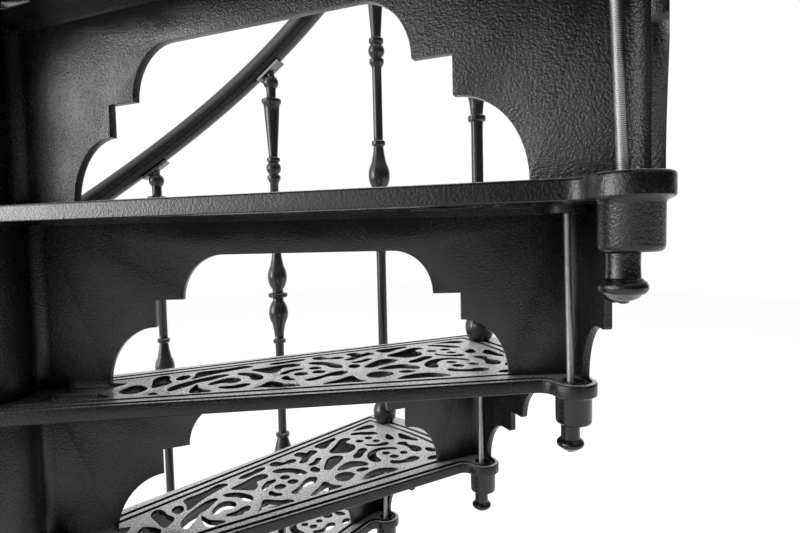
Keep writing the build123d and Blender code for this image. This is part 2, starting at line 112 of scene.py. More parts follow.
class STAIR_PG_tread(bpy.types.PropertyGroup):
    depth: length("Rim depth", 0.015, "Depth of the tread's rim")
    plate: length("Plate", 0.008, "Thickness of the pierced plate")
    rim: length("Rim width", 0.016, "Width of the rim seen from below")
    hub_r: length("Hub radius", 0.060, "Round end under the sleeve")
    bore_r: length("Bore radius", 0.0445, "Bore round the newel tube")
    rod_r: length("Rod circle", 0.647, "Radius of the tie rods from the newel")
    edge_out: length("Outer end", 0.030, "Curved outer end beyond the rod circle")
    eye_r: length("Lug radius", 0.0255, "Round end of the lug")
    eye_ahead: degrees("Lug ahead", 0.2, "Lug ahead of the rod")
    lug_hollow: length("Lug hollow", 0.014, "Hollow where the back edge meets the lug")
    lug_ring: length("Lug ring", 0.006, "Solid metal round the lug below the plate")
    pad_r: length("Pad radius", 0.024, "Solid pad under the baluster's foot")
    corner_r: length("Corner radius", 0.018, "Front outer corner")
    front_gap: length("Front gap", 0.040, "Front edge ahead of the next step's axis")
    back_slope: degrees("Back slope", 6.3, "Back edge against the step's axis")
    bal_in: length("Baluster circle", 0.0066, "Baluster circle inside the rod circle")
    bal_lag: degrees("Baluster lag", 1.0, "Baluster behind the next tread's rod")
    boss_r: length("Boss radius", 0.0197, "Boss below the lug")
    boss_drop: length("Boss drop", 0.048, "Tread top to the end of the boss")
    dish_r: length("Dish radius", 0.012, "Dish on top of the lug")
    dish_d: length("Dish depth", 0.003, "Depth of the dish")
    groove_1: length("Outer hollow", 0.009, "Middle of the border's outer hollow, in from the edge")
    groove_2: length("Inner hollow", 0.024, "Middle of the border's inner hollow, in from the edge")
    groove_d: length("Hollow depth", 0.0045, "Hollows between the raised lines of the border")
    margin: length("Plain margin", 0.025, "Plain margin outside the border at the outer end")
    riser_mid: length("Riser line", 0.034, "Middle of the riser plate ahead of the step's axis")
    soft: length("Edge rounding", 0.0011, "Rounding of the scrollwork's edges")


class STAIR_PG_baluster(bpy.types.PropertyGroup):
    shaft_r: length("Shaft radius", 0.009, "Plain shaft")
    foot_r: length("Foot radius", 0.0225, "Barrel foot")
    vase_r: length("Vase radius", 0.020, "Double vase at the middle")
    collar_r: length("Collar radius", 0.0205, "Collar under the swivel ball")
    swivel_z: length("Swivel height", 0.898, "Centre of the swivel ball above the tread")
    swivel_r: length("Swivel radius", 0.016, "Swivel ball")
    sides: bpy.props.IntProperty(name="Sides", description="Sides of the turned pieces", default=32, min=8)


class STAIR_PG_rail(bpy.types.PropertyGroup):
    radius: length("Tube radius", 0.022, "Handrail tube")
    height: length("Height", 0.952, "Tube's centre above the tread")
    over: degrees("Overrun", 9.0, "Tube past the end balusters")
    rod_d: length("Rod diameter", 0.008, "Threaded tie rods")
    thread: length("Thread pitch", 0.00125, "Pitch of the tie rods' thread")
    thread_h: length("Thread height", 0.0004, "Depth of the thread")


class STAIR_PG_finish(bpy.types.PropertyGroup):
    iron: paint("Black iron", (0.007, 0.007, 0.0072), "Gloss black paint on cast iron")
    # the balusters' paint tone, made lighter than the black iron as a painted sheen in place of their highlights
    turned: paint("Turned black", (0.03, 0.03, 0.0303), "Paint on the turned balusters")
    rail: paint("Rail black", (0.012, 0.012, 0.0122), "Paint on the handrail")
    steel: paint("Plated steel", (0.46, 0.46, 0.455), "Zinc plated rods")
    # painted sheen: the pale colour on the treads' upper faces stands in for the light they catch
    top_sheen: paint("Trodden iron", (0.44, 0.44, 0.44), "Upper faces of the treads, worn pale and dusty")
    dust: paint("Dust", (0.10, 0.10, 0.10), "Fine dust on other upward faces")
    floor: paint("Floor", (0.93, 0.93, 0.93), "Plain pale floor")
    lamp: bpy.props.FloatProperty(name="Lamp", description="Power of the soft lamp on the left", default=24.0,
                                  min=0.0)


GROUPS = {"stair_flight": STAIR_PG_flight, "stair_tread": STAIR_PG_tread, "stair_baluster": STAIR_PG_baluster,
          "stair_rail": STAIR_PG_rail, "stair_finish": STAIR_PG_finish}


def sizes(name):
    """The scene's values of a property group."""
    return getattr(bpy.context.scene, name)


# Scrollwork of a tread in its own frame, millimetres. Round openings: x, y, width.
DOTS = [(353, 95, 15), (360, 75, 16), (339, 67, 17), (528, 107, 13), (534, 88, 15), (555, 95, 13),
        (508, 179, 14), (528, 186, 14), (535, 166, 13)]
# Curling openings: x, y and width along the middle of each stroke.
STROKES = [
    [(162, 12, 28), (158, 26, 20)],
    [(173, 70, 15), (175, 57, 18), (182, 42, 21), (181, 24, 7)],
    [(264, 77, 10), (283, 66, 13), (291, 48, 12)],
    [(258, 16, 8), (272, 16, 14), (283, 25, 12)],
    [(293, 124, 9), (312, 134, 11), (329, 144, 9)],
    [(316, 68, 6), (322, 82, 9), (334, 92, 10)],
    [(323, 57, 6), (324, 48, 10), (332, 42, 9)],
    [(347, 123, 14), (368, 115, 15), (382, 97, 13)],
    [(351, 151, 19), (366, 147, 9), (378, 151, 15)],
    [(402, 95, 13), (402, 105, 13)],
    [(463, 64, 11), (474, 65, 11)],
    [(478, 115, 13), (489, 128, 13), (500, 141, 13)],
    [(599, 91, 11), (603, 79, 13)],
    [(581, 51, 9), (593, 55, 12)],
]
# Leaves, hooks and hearts between the scrolls: points round each opening.
LEAVES = [
    [(207, 87), (226, 99), (246, 110), (264, 118), (271, 113), (262, 103), (250, 94), (238, 84), (222, 67), (210, 56),
     (210, 66), (209, 76)],
    [(273, 94), (285, 103), (300, 113), (313, 121), (322, 124), (331, 116), (328, 107), (316, 102), (311, 99),
     (310, 89), (307, 79), (302, 74), (296, 76), (284, 84)],
    [(226, 31), (230, 22), (238, 12), (249, 5), (252, 0), (243, -3), (233, -5), (229, -2), (226, 8), (225, 20)],
    [(295, 6), (299, 15), (304, 28), (309, 37), (320, 31), (332, 24), (344, 19), (346, 14), (335, 11), (319, 9),
     (308, 11), (302, 11)],
    [(371, 17), (376, 25), (389, 37), (397, 48), (402, 52), (407, 44), (412, 34), (421, 25), (412, 22), (400, 21),
     (385, 19)],
    [(205, 5), (199, 14), (200, 26), (208, 41), (220, 56), (232, 68), (242, 74), (250, 74), (251, 69), (246, 62),
     (238, 50), (231, 43), (224, 38), (219, 26), (211, 13)],
    [(239, 31), (241, 40), (248, 51), (258, 58), (268, 54), (272, 45), (270, 36), (265, 32), (257, 34), (252, 33),
     (247, 28), (242, 26)],
    [(348, 38), (352, 44), (362, 52), (370, 62), (378, 72), (388, 77), (396, 73), (393, 62), (387, 54), (378, 53),
     (369, 46), (361, 36), (354, 33)],
    [(199, 76), (204, 73), (206, 64), (204, 55), (199, 51), (193, 56), (191, 65), (194, 73)],
    [(387, 172), (395, 180), (403, 178), (409, 172), (416, 180), (424, 177), (427, 170), (419, 161), (411, 154),
     (403, 142), (395, 133), (387, 135), (393, 148), (395, 159), (389, 165)],
    [(445, 152), (456, 173), (470, 191), (478, 201), (489, 206), (498, 200), (495, 194), (487, 189), (485, 181),
     (490, 175), (493, 163), (489, 151), (482, 144), (470, 140), (458, 144), (449, 148)],
    [(428, 190), (440, 202), (457, 210), (474, 215), (473, 209), (466, 201), (456, 191), (449, 181), (442, 176),
     (434, 181)],
    [(504, 216), (508, 221), (527, 220), (540, 215), (552, 205), (551, 198), (543, 197), (528, 203), (515, 210)],
    [(516, 233), (532, 243), (544, 248), (559, 247), (562, 239), (557, 232), (535, 231)],
    [(566, 188), (569, 174), (568, 163), (561, 158), (555, 166), (558, 177)],
    [(587, 181), (594, 166), (600, 149), (603, 138), (601, 132), (596, 134), (587, 144), (579, 154), (580, 168)],
    [(511, 160), (521, 155), (532, 151), (542, 153), (549, 153), (551, 147), (544, 140), (530, 141), (518, 147),
     (511, 153)],
    [(501, 79), (493, 88), (493, 103), (499, 118), (512, 129), (527, 133), (542, 129), (553, 120), (552, 113),
     (544, 117), (532, 122), (518, 120), (511, 111), (508, 101), (509, 89), (507, 81)],
    [(561, 134), (569, 141), (579, 136), (578, 124), (582, 118), (589, 110), (590, 98), (583, 88), (575, 89),
     (571, 100), (572, 111), (569, 122), (564, 129)],
    [(518, 67), (522, 75), (532, 70), (546, 69), (560, 74), (569, 68), (566, 60), (549, 55), (532, 57), (521, 61)],
    [(397, 122), (401, 117), (412, 120), (420, 131), (424, 140), (418, 143), (413, 137), (406, 129)],
    [(416, 91), (417, 101), (425, 118), (435, 133), (446, 137), (458, 130), (454, 119), (442, 105), (430, 94),
     (421, 88)],
    [(433, 79), (440, 91), (452, 100), (463, 103), (477, 96), (485, 85), (483, 77), (474, 77), (457, 80), (440, 77)],
    [(420, 54), (425, 65), (437, 69), (449, 64), (452, 55), (444, 45), (431, 38), (422, 44)],
    [(456, 31), (462, 41), (477, 52), (494, 56), (509, 51), (519, 41), (512, 36), (494, 34), (470, 30)],
]
# Pointed openings between the scrolls and the border: corners.
SPANDRELS = [
    [(78, -20), (78, 6), (126, 6), (150, -11)],
    [(84, 16), (129, 15), (142, 44), (121, 48), (84, 31)],
    [(188, 5), (199, -7), (184, -8)],
]


# ---------------------------------------------------------------- meshes

def placed(name, data):
    """Object at the origin, linked into the scene."""
    obj = bpy.data.objects.new(name, data)
    bpy.context.scene.collection.objects.link(obj)
    return obj


def shaded(me, crease):
    """Smooth shading but for edges sharper than the crease, in degrees."""
    me.shade_smooth()
    me.set_sharp_from_angle(angle=math.radians(crease))


def mesh_piece(name, verts, faces, weld=1e-6, crease=35.0):
    """Mesh object at the origin from points and faces, welded, faces outwards, smooth but for its edges."""
    me = bpy.data.meshes.new(name)
    me.from_pydata([tuple(v) for v in verts], [], [tuple(f) for f in faces])
    bm = bmesh.new()
    bm.from_mesh(me)
    bmesh.ops.remove_doubles(bm, verts=bm.verts, dist=weld)
    bmesh.ops.dissolve_degenerate(bm, dist=weld, edges=bm.edges)
    bmesh.ops.delete(bm, geom=[v for v in bm.verts if not v.link_faces], context="VERTS")
    bmesh.ops.recalc_face_normals(bm, faces=bm.faces)
    bm.to_mesh(me)
    bm.free()
    shaded(me, crease)
    return placed(name, me)


def settled(obj, mod):
    """Works out a piece's one modifier and keeps the result as its plain mesh."""
    bpy.context.view_layer.update()
    done = bpy.data.meshes.new_from_object(obj.evaluated_get(bpy.context.evaluated_depsgraph_get()))
    obj.modifiers.remove(mod)
    old, obj.data = obj.data, done
    bpy.data.meshes.remove(old)
    done.name = obj.name
    return done


class Shell:
    """Points and faces of a piece, gathered a part at a time."""

    def __init__(self):
        self.verts, self.faces = [], []

    def add(self, verts, faces):
        """Takes up points and the faces between them."""
        base = len(self.verts)
        self.verts.extend(verts)
        self.faces.extend(tuple(base + k for k in f) for f in faces)

    def wall(self, loop, high, low, low_loop=None):
        """Wall between a loop at one height and the same or another loop at a lower one."""
        n, under = len(loop), loop if low_loop is None else low_loop
        self.add([(x, y, high) for x, y in loop] + [(x, y, low) for x, y in under],
                 [(k, (k + 1) % n, n + (k + 1) % n, n + k) for k in range(n)])


def turned(profile, sides):
    """Points and faces of a turned solid from (radius, height) pairs; ends on the axis are closed to a pole."""
    verts, faces, rows = [], [], []
    for r, z in profile:
        if r < 1e-7:
            rows.append([len(verts)])
            verts.append((0, 0, z))
        else:
            rows.append(list(range(len(verts), len(verts) + sides)))
            verts += [(r * math.cos(2 * math.pi * k / sides), r * math.sin(2 * math.pi * k / sides), z)
                      for k in range(sides)]
    for a, b in zip(rows, rows[1:]):
        for k in range(sides):
            j = (k + 1) % sides
            if len(a) == 1 and len(b) == 1:
                continue
            if len(a) == 1:
                faces.append((a[0], b[j], b[k]))
            elif len(b) == 1:
                faces.append((a[k], a[j], b[0]))
            else:
                faces.append((a[k], a[j], b[j], b[k]))
    return verts, faces


def arc_points(c, r, a, b, n):
    """Points on a circle about c from angle a to b, in degrees."""
    return [(c[0] + r * math.cos(math.radians(a + (b - a) * k / n)),
             c[1] + r * math.sin(math.radians(a + (b - a) * k / n))) for k in range(n + 1)]


def swell(r0, z0, rm, zm, r1, z1, n=8):
    """Rounded swelling of a turned profile through three points."""
    ax, ay, bx, by, cx, cy = r0, z0, rm, zm, r1, z1
    d = 2 * (ax * (by - cy) + bx * (cy - ay) + cx * (ay - by))
    ux = ((ax * ax + ay * ay) * (by - cy) + (bx * bx + by * by) * (cy - ay) + (cx * cx + cy * cy) * (ay - by)) / d
    uy = ((ax * ax + ay * ay) * (cx - bx) + (bx * bx + by * by) * (ax - cx) + (cx * cx + cy * cy) * (bx - ax)) / d
    r = math.hypot(ax - ux, ay - uy)
    a, b, m = (math.degrees(math.atan2(y - uy, x - ux)) for x, y in ((ax, ay), (cx, cy), (bx, by)))
    turn = (b - a) % 360
    if (m - a) % 360 > turn:
        turn -= 360
    return arc_points((ux, uy), r, a, a + turn, n)


def closed_curve(pts, step):
    """Smooth closed curve through points, sampled about every step."""
    p = np.array(pts, float)
    n = len(p)
    h = np.linalg.norm(np.roll(p, -1, 0) - p, axis=1)
    m = np.zeros((n, n))
    rhs = np.zeros((n, 2))
    for i in range(n):
        hp, hn = h[i - 1], h[i]
        m[i, (i - 1) % n] += hp
        m[i, i] += 2 * (hp + hn)
        m[i, (i + 1) % n] += hn
        rhs[i] = 6 * ((p[(i + 1) % n] - p[i]) / hn - (p[i] - p[i - 1]) / hp)
    bend = np.linalg.solve(m, rhs)
    out = []
    for i in range(n):
        j = (i + 1) % n
        count = max(2, round(h[i] / step))
        for k in range(count):
            t = h[i] * k / count
            s = h[i] - t
            out.append((bend[i] * s ** 3 + bend[j] * t ** 3) / (6 * h[i])
                       + (p[i] / h[i] - bend[i] * h[i] / 6) * s + (p[j] / h[i] - bend[j] * h[i] / 6) * t)
    return np.array(out)


def rounded(pts, r, n=4):
    """Polygon with straight sides and its corners rounded to r."""
    out = []
    p = [Vector(q) for q in pts]
    for i, c in enumerate(p):
        a, b = (p[i - 1] - c).normalized(), (p[(i + 1) % len(p)] - c).normalized()
        half = a.angle(b) / 2
        reach = min(r / math.tan(half), 0.45 * (p[i - 1] - c).length, 0.45 * (p[(i + 1) % len(p)] - c).length)
        q0, q1 = c + a * reach, c + b * reach
        for k in range(n + 1):
            t = k / n
            out.append(tuple(q0 * (1 - t) ** 2 + c * 2 * t * (1 - t) + q1 * t * t))
    return np.array(out)


def anticlockwise(loop):
    """The loop, turned round if it runs clockwise."""
    x, y = loop[:, 0], loop[:, 1]
    return loop if np.sum(x * np.roll(y, -1) - np.roll(x, -1) * y) > 0 else loop[::-1]


def grown(loop, by):
    """Anticlockwise loop moved outwards."""
    t = np.roll(loop, -1, 0) - np.roll(loop, 1, 0)
    t /= np.maximum(np.linalg.norm(t, axis=1, keepdims=True), 1e-9)
    return loop + by * np.stack([t[:, 1], -t[:, 0]], 1)


def inside(points, loop):
    """Which points lie inside a loop."""
    hit = np.all((points > loop.min(0)) & (points < loop.max(0)), 1)
    x, y = points[hit].T
    odd = np.zeros(len(x), bool)
    for (ax, ay), (bx, by) in zip(loop, np.roll(loop, -1, 0)):
        if abs(by - ay) > 1e-15:
            odd ^= ((ay > y) != (by > y)) & (x < (bx - ax) * (y - ay) / (by - ay) + ax)
    hit[hit] = odd
    return hit


def stretches(line, wanted):
    """Unbroken stretches of a line's wanted points."""
    runs, run = [], []
    for point, on in zip(line, wanted):
        if on:
            run.append(point)
        elif run:
            runs.append(run)
            run = []
    return [np.array(run) for run in runs + [run] if len(run) > 1]


# ---------------------------------------------------------------- plan of a tread

class Plan:
    """Outline of a tread at any distance in from its edge."""

    def __init__(self):
        t, f = sizes("stair_tread"), sizes("stair_flight")
        self.t = t
        self.step, self.back = math.degrees(f.step_angle), math.degrees(t.back_slope)
        self.edge_r, self.eye_a = t.rod_r + t.edge_out, math.degrees(t.eye_ahead)
        self.eye = self.polar(self.eye_a, self.edge_r - t.eye_r)
        self.rod = Vector((t.rod_r, 0.0))
        self.baluster = self.polar(self.step - math.degrees(t.bal_lag), t.rod_r - t.bal_in)
        # middle of the hollow that joins the back edge to the lug
        u, n = self.polar(self.back), self.polar(self.back + 90)
        across = self.eye.dot(n) + t.hub_r + t.lug_hollow
        along = self.eye.dot(u) - math.sqrt((t.eye_r + t.lug_hollow) ** 2 - across ** 2)
        self.hollow = u * along - n * (t.hub_r + t.lug_hollow)
        d = self.eye - self.hollow
        self.hollow_a = math.degrees(math.atan2(d.y, d.x))
        self.outline = np.array(self.loop(0.0))

    @staticmethod
    def polar(a, r=1.0):
        """Point at a bearing in degrees and a radius."""
        return Vector((r * math.cos(math.radians(a)), r * math.sin(math.radians(a))))

    @staticmethod
    def bearing(dist, r):
        """Angle above a line through the newel at which radius r is dist away from it."""
        return math.degrees(math.asin(dist / r))

    def lug(self, inset):
        """Hollow of the back edge and round end of the lug, moved in."""
        t = self.t
        pts = arc_points(self.hollow, t.lug_hollow + inset, self.back + 90, self.hollow_a, 14)
        return pts + arc_points(self.eye, t.eye_r - inset, self.hollow_a + 180, 360 + self.eye_a, 26)[1:]

    def loop(self, inset):
        """The whole outline, moved in."""
        t, edge = self.t, self.edge_r - inset
        across = t.front_gap - t.corner_r
        corner = self.polar(self.step, math.sqrt((self.edge_r - t.corner_r) ** 2 - across ** 2))
        corner += self.polar(self.step + 90, across)
        turn = math.degrees(math.atan2(corner.y, corner.x))
        pts = self.lug(inset) + arc_points((0, 0), edge, self.eye_a, turn, END_STEPS)[1:]
        pts += arc_points(corner, t.corner_r - inset, turn, self.step + 90, 8)[1:]
        lean = self.bearing(t.front_gap - inset, t.hub_r - inset)
        return pts + arc_points((0, 0), t.hub_r - inset, self.step + lean, self.back + 270, HUB_STEPS)

    def border(self, inset, lean):
        """Line of the border from the hub out and back, without the plain margin at the outer end.

        The lean is what comes on top of the inset at four places: at the hub and the lug on the back edge's side,
        at the outer end and the hub on the front edge's side.
        """
        t, edge = self.t, self.edge_r - inset
        side, inner = t.riser_mid + t.groove_1 - inset, edge - t.margin
        ends = (t.hub_r + HOLLOW_END, t.hub_r + 2 * HOLLOW_END)
        hub_back, lug_back, end_front, hub_front = (inset + extra * MM for extra in lean)
        pts = [tuple(self.polar(self.back - self.bearing(t.hub_r - hub_back, r), r)) for r in ends]
        pts += self.lug(lug_back) + arc_points((0, 0), edge, self.eye_a, self.bearing(side, edge), 5)[1:]
        pts += arc_points((0, 0), inner, self.bearing(side, inner),
                          self.step + self.bearing(t.front_gap - end_front, inner), END_STEPS)
        return pts + [tuple(self.polar(self.step + self.bearing(t.front_gap - hub_front, r), r)) for r in ends[::-1]]

    def rim_inside(self):
        """Inner line of the rim, without the hub's end."""
        t = self.t
        r, pts = t.hub_r - 0.004, self.loop(t.rim)[:-1 - HUB_STEPS]
        start = self.polar(self.back - self.bearing(t.hub_r - t.rim, r), r)
        end = self.polar(self.step + self.bearing(t.front_gap - t.rim, r), r)
        return [tuple(start)] + pts + [tuple(end)]

    def runs_within(self, ring, inset):
        """Unbroken stretches of a closed line that lie more than the inset from the outline."""
        deep = (self.inset_of(ring) > inset) & inside(ring, self.outline)
        if deep.all():
            return [np.concatenate([ring, ring[:1]])]
        first = int(np.argmin(deep))
        return stretches(np.roll(ring, -first, 0), np.roll(deep, -first))

    def inset_of(self, pts):
        """Distance of points from the outline."""
        best = np.full(len(pts), 9.0)
        for a, b in zip(self.outline, np.roll(self.outline, -1, 0)):
            d = b - a
            l2 = d @ d
            if l2 < 1e-16:
                continue
            s = np.clip(((pts - a) @ d) / l2, 0, 1)
            best = np.minimum(best, np.linalg.norm(pts - a - s[:, None] * d, axis=1))
        return best

    def openings(self):
        """Loops of the scrollwork, anticlockwise."""
        out = [np.array(arc_points((x, y), w / 2, 0, 360, 20)[:-1]) for x, y, w in DOTS]
        out += [rounded(pts, 3.0) for pts in SPANDRELS]
        out += [closed_curve(pts, TRACE) for pts in LEAVES]
        for stroke in STROKES:
            mid = [Vector((x, y)) for x, y, w in stroke]
            half = [w / 2 for x, y, w in stroke]
            last = len(mid) - 1
            ahead = [(mid[min(k + 1, last)] - mid[max(k - 1, 0)]).normalized() for k in range(last + 1)]
            left, right = ([p + Vector((-d.y, d.x)) * h * way for p, d, h in zip(mid, ahead, half)]
                           for way in (1, -1))
            start, end = mid[0] - ahead[0] * half[0], mid[-1] + ahead[-1] * half[-1]
            out.append(closed_curve([start, *left, end, *right[::-1]], TRACE))
        return [anticlockwise(loop * MM) for loop in out]


def triangulated(loops, chains=()):
    """Triangles over closed loops and open chains: points, triangles, their middles, and each point's first
    source or -1."""
    pts, edges = [], []
    for loop, closed in [(loop, 1) for loop in loops] + [(chain, 0) for chain in chains]:
        base, n = len(pts), len(loop)
        pts += [Vector((float(x), float(y))) for x, y in loop]
        edges += [(base + k, base + (k + 1) % n) for k in range(n - 1 + closed)]
    found, _, faces, source, _, _ = delaunay_2d_cdt(pts, edges, [], 0, 1e-7)
    flat = np.array([(v.x, v.y) for v in found])
    centre = np.array([flat[list(f)].mean(0) for f in faces])
    return flat, [tuple(f) for f in faces], centre, [s[0] if s else -1 for s in source]


class Tread(Shell):
    """One tread in its own frame: its top, walls, underside and boss."""

    def __init__(self, plan):
        super().__init__()
        t = plan.t
        self.plan, self.t, self.openings = plan, t, plan.openings()
        self.eye, self.rod, self.pad = (np.array(p) for p in (plan.eye, plan.rod, plan.baluster))
        self.circle = np.array(arc_points((0, 0), 1.0, 0, 360, LUG_SIDES)[:-1])
        self.hole = self.rod + self.circle * ROD_HOLE
        self.bore = np.array(arc_points((0, 0), t.bore_r, 0, 360, HUB_STEPS)[:-1])
        self.rim_low = np.array(plan.loop(LOWER_BREAK))
        self.top()
        self.walls()
        self.underside()
        self.boss()

    def top(self):
        """Upper face: rounded edge, border hollows, dish on the lug, and rounded edges of the scrollwork."""
        t, plan, soft = self.t, self.plan, self.t.soft
        loops, heights, chains, depths = [], [], [], []

        def put(loop, height):
            """Takes up a loop at one height."""
            loops.append(loop)
            heights.append(np.full(len(loop), height))

        for inset, high in EDGE_ROUND:
            put(np.array(plan.loop(inset * MM)), high * MM)
        for middle, lean in ((t.groove_1, OUTER_LEAN), (t.groove_2, INNER_LEAN)):
            for inset, share in HOLLOW:
                line = np.array(plan.border(middle + inset * MM, lean))
                from_hub = np.linalg.norm(line, axis=1) - t.hub_r - HOLLOW_END
                depth = share * t.groove_d * np.clip(from_hub / HOLLOW_END, 0, 1)
                if middle == t.groove_1:
                    chains.append(line)
                    depths.append(depth)
                    continue
                # the inner hollow runs out before the lug
                away = np.linalg.norm(line - self.eye, axis=1) - t.eye_r - t.corner_r
                depth *= np.clip(away / HOLLOW_END + 0.5, 0, 1)
                close = np.nonzero(away < -LUG_REACH)[0]
                depth[[close[0] - 1, close[-1] + 1]] = 0
                chains += [line[:close[0]], line[close[-1] + 1:]]
                depths += [depth[:close[0]], depth[close[-1] + 1:]]
        for share, drop in DISH:
            put(self.eye + self.circle * t.dish_r * share, drop * t.dish_d)
        put(self.hole, -t.dish_d)
        for loop in self.openings:
            put(grown(loop, soft), 0.0)
            put(grown(loop, soft * 0.3), -soft * 0.3)
            put(loop, -soft)
        put(self.bore, -BORE_DROP)
        given = np.concatenate(heights + depths)
        flat, tris, centre, source = triangulated(loops, chains)
        keep = inside(centre, plan.outline)
        for loop in (self.bore, self.hole, *self.openings):
            keep &= ~inside(centre, loop)
        self.add([(x, y, given[s] if s >= 0 else 0.0) for (x, y), s in zip(flat, source)],
                 [f for f, k in zip(tris, keep) if k])

    def walls(self):
        """Walls of the scrollwork and the edge, with their lower edges broken, of the bore and of the rod hole."""
        t, outline = self.t, self.plan.outline
        low = -t.plate + LOWER_BREAK
        for loop in self.openings:
            self.wall(loop, -t.soft, low)
            self.wall(loop, low, -t.plate, grown(loop, SCROLL_BREAK))
        low = -t.depth + LOWER_BREAK
        self.wall(outline, EDGE_ROUND[0][1] * MM, low)
        self.wall(outline, low, -t.depth, self.rim_low)
        self.wall(self.bore, -BORE_DROP, -t.depth)
        self.wall(self.hole, -t.dish_d, -t.boss_drop)

    def underside(self):
        """Rim, hub, lug and pad at one level, the pierced plate at another, and the steps between them."""
        t, plan, eye = self.t, self.plan, self.eye
        lug = t.eye_r + t.lug_ring
        solids = ((eye * 0, t.hub_r + HUB_RING), (eye, lug), (self.pad, t.pad_r))
        boss = eye + self.circle * (t.boss_r + BOSS_FLARE)
        cut = [grown(loop, SCROLL_BREAK) for loop in self.openings]
        line = np.array(plan.rim_inside())
        chains = stretches(line, np.linalg.norm(line - eye, axis=1) > lug - RIM_REACH)
        for middle, r in solids:
            chains += plan.runs_within(middle + self.circle * r, t.rim - ROUND_REACH)
        flat, tris, centre, _ = triangulated([self.rim_low, self.bore, boss] + cut, chains)
        keep = inside(centre, self.rim_low)
        for loop in (self.bore, boss, *cut):
            keep &= ~inside(centre, loop)
        solid = plan.inset_of(centre) < t.rim
        for middle, r in solids:
            solid |= np.linalg.norm(centre - middle, axis=1) < r
        n, faces, sides = len(flat), [], {}
        for f, k, s in zip(tris, keep, solid):
            if k:
                faces.append(tuple((0 if s else n) + v for v in reversed(f)))
                for a, b in zip(f, f[1:] + f[:1]):
                    sides.setdefault((min(a, b), max(a, b)), set()).add(bool(s))
        faces += [(a, b, n + b, n + a) for (a, b), kinds in sides.items() if len(kinds) == 2]
        self.add([(x, y, z) for z in (-t.depth, -t.plate) for x, y in flat], faces)

    def boss(self):
        """Boss below the lug, with its hole round the rod."""
        t = self.t
        drop, r, end = -t.boss_drop, t.boss_r, BOSS_EDGE
        profile = [(r + BOSS_FLARE, -t.depth), (r + 0.0009, -t.depth - 0.0014), (r + 0.0002, -t.depth - 0.004),
                   (r, drop + end)]
        profile += [(r - end + end * math.cos(a), drop + end - end * math.sin(a)) for a in (0.4, 0.8, 1.2, 1.5708)]
        verts, faces = turned(profile + [(ROD_HOLE, drop)], LUG_SIDES)
        middles = (self.rod if math.hypot(x, y) < 2 * ROD_HOLE else self.eye for x, y, z in verts)
        self.add([(x + mx, y + my, z) for (x, y, z), (mx, my) in zip(verts, middles)], faces)


# ---------------------------------------------------------------- turned pieces and threads

def baluster_profile():
    """Radius and height of the turned baluster, in metres above its tread."""
    b = sizes("stair_baluster")
    s, foot, vase, collar = b.shaft_r, b.foot_r, b.vase_r, b.collar_r
    p = [(0, 0), (0.0142, 0), (0.0152, 0.0008)]

    def bulge(r, z, r1, z1, n=8):
        """Rounded swelling from the last point through its widest to its end."""
        p.extend(swell(*p[-1], r, z, r1, z1, n)[1:])

    def ring(r, z, after, h=0.004):
        """Plain ring with broken edges, and the neck after it."""
        neck = z + h + (r - after) / 4
        p.extend([(r - 0.0009, z - h), (r, z - h + 0.0011), (r, z + h - 0.0011), (r - 0.0009, z + h),
                  (after + 0.0006, neck), (after, neck + 0.0012)])

    bulge(foot, 0.021, 0.0128, 0.0435, 12)
    p += [(0.0125, 0.0455), (0.0132, 0.0475)]
    bulge(0.0192, 0.064, 0.0221, 0.0815, 10)
    p += [(0.0225, 0.0840), (0.0222, 0.0862), (0.0115, 0.1268)]
    ring(0.015, 0.132, s)
    p += [(s, 0.150), (s, 0.326), (s + 0.0005, 0.3355)]
    ring(0.0135, 0.341, s + 0.0003)
    p += [(0.0108, 0.362), (0.0144, 0.380)]
    bulge(vase, 0.410, 0.0118, 0.4295)
    p += [(0.0115, 0.4345)]
    ring(0.0205, 0.442, 0.0115)
    p += [(0.0118, 0.4545)]
    bulge(vase, 0.474, 0.0146, 0.505)
    p += [(0.0112, 0.522), (s + 0.0003, 0.536)]
    ring(0.013, 0.543, s)
    p += [(s, 0.556), (s, 0.684)]
    ring(0.014, 0.6965, 0.0100, 0.0042)
    p += [(0.0104, 0.7045)]
    bulge(0.0155, 0.7163, 0.0104, 0.7282)
    ring(0.014, 0.7347, 0.0096)
    p += [(0.0095, 0.744), (0.0122, 0.782), (0.0157, 0.832), (0.0170, 0.8505)]
    ring(collar, 0.8585, 0.0100)
    p += [(0.0100, 0.872), (0.0100, 0.880)]
    r, c = b.swivel_r, b.swivel_z
    p += [(r * math.cos(math.radians(a)), c + r * math.sin(math.radians(a))) for a in range(-50, 48, 12)]
    return p + [(0, c + math.sqrt(r * r - SWIVEL_FLAT ** 2))]


def nut_profile():
    """Turned nut below a lug: radius and height, its top at zero."""
    p = [(0, 0), (0.0098, 0), (0.0105, -0.0006), (0.0103, -0.006), (0.0104, -0.012), (0.0106, -0.0158),
         (0.0118, -0.0166)]
    p += swell(0.0120, -0.0172, 0.0150, -0.0215, 0.0112, -0.0262, 8)
    p += [(0.0090, -0.0284), (0.0058, -0.0298), (0.0040, -0.0303), (0.0036, -0.0312), (0.0018, -0.0320),
          (0, -0.0320)]
    return p


